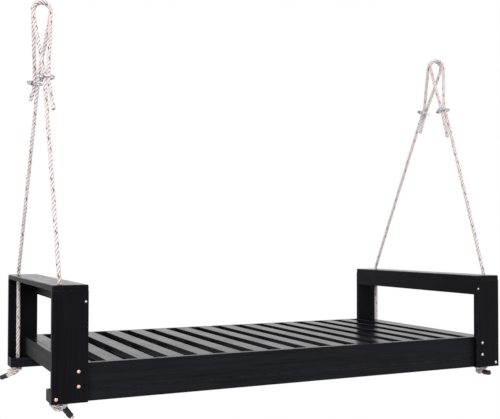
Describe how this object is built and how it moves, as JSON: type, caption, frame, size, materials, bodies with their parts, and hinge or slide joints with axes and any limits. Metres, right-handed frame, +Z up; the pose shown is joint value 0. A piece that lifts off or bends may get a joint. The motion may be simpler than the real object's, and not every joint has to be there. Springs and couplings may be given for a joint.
{
  "type": "hanging swing bed",
  "caption": "Painted wooden swing bed with a slatted deck, armrest ends and four ropes clipped into loops that hang from two overhead hooks.",
  "frame": {"origin": "on the swing axis through the two overhead hooks, straight above the middle of the bed", "axes": "+X along the bed to the right as seen from the front, +Y to the back, +Z up"},
  "size_m": [2.3342, 1.064, 1.7595],
  "materials": {
    "painted_wood": "black satin paint over planed boards",
    "rope": "cream three-strand rope with a dark tracer",
    "tape": "black sleeve tape on rope ends",
    "clip_steel": "bright zinc-plated steel",
    "bolt_steel": "zinc-plated steel"
  },
  "bodies": {
    "hanging_loops": {"left_front_loop": "rope", "left_back_loop": "rope", "right_front_loop": "rope", "right_back_loop": "rope"},
    "swing_bed": {"front_beam": "painted_wood", "back_beam": "painted_wood", "front_rail": "painted_wood", "back_rail": "painted_wood", "left_end_rail": "painted_wood", "right_end_rail": "painted_wood", "slat_01": "painted_wood", "slat_02": "painted_wood", "slat_03": "painted_wood", "slat_04": "painted_wood", "slat_05": "painted_wood", "slat_06": "painted_wood", "slat_07": "painted_wood", "slat_08": "painted_wood", "slat_09": "painted_wood", "slat_10": "painted_wood", "slat_11": "painted_wood", "slat_12": "painted_wood", "slat_13": "painted_wood", "slat_14": "painted_wood", "slat_15": "painted_wood", "slat_16": "painted_wood", "front_ledger": "painted_wood", "back_ledger": "painted_wood", "centre_support": "painted_wood", "left_armrest": "painted_wood", "right_armrest": "painted_wood", "left_apron": "painted_wood", "right_apron": "painted_wood", "left_front_post": "painted_wood", "left_back_post": "painted_wood", "right_front_post": "painted_wood", "right_back_post": "painted_wood", "left_front_rope": "rope", "left_back_rope": "rope", "right_front_rope": "rope", "right_back_rope": "rope", "rope_sleeves": "tape", "clip_u_bolts": "clip_steel", "clip_saddles": "clip_steel", "clip_nuts": "clip_steel", "rail_bolts": "bolt_steel", "beam_screws": "bolt_steel", "bolt_washers": "bolt_steel", "bolt_nuts": "bolt_steel", "apron_screws": "bolt_steel", "slat_screws": "bolt_steel"}
  },
  "joints": [
    {"name": "swing", "type": "hinge", "parent": "hanging_loops", "child": "swing_bed", "pos_m": [0, 0, 0], "axis": [0.9998, 0, -0.0183], "range_deg": [-15, 15]}
  ]
}
